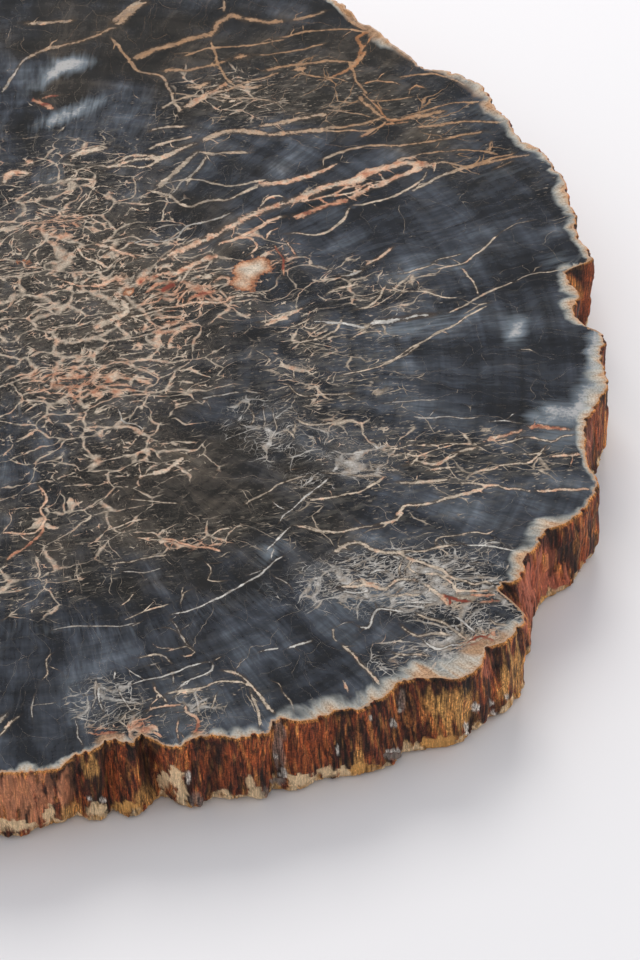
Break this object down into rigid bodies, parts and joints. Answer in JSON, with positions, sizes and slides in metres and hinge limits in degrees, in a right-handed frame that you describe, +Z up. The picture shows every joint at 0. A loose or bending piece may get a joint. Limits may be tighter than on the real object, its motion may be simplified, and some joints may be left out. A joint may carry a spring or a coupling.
{
  "type": "petrified wood cheese board",
  "caption": "Flat slice of petrified tree trunk with sawn, polished faces and a rough natural bark edge, used as a cheese or serving board.",
  "frame": {"origin": "middle of the bounding box in plan, on the surface that the board lies on", "axes": "+Z up through the thickness; the view looks along +Y with +X to the right"},
  "size_m": [0.296, 0.3006, 0.024],
  "materials": {
    "petrified_wood": "polished silicified wood, blue-black with cream and rust veins; rough red-brown bark edge"
  },
  "bodies": {
    "root": {"petrified_wood_slab": "petrified_wood"}
  },
  "joints": []
}
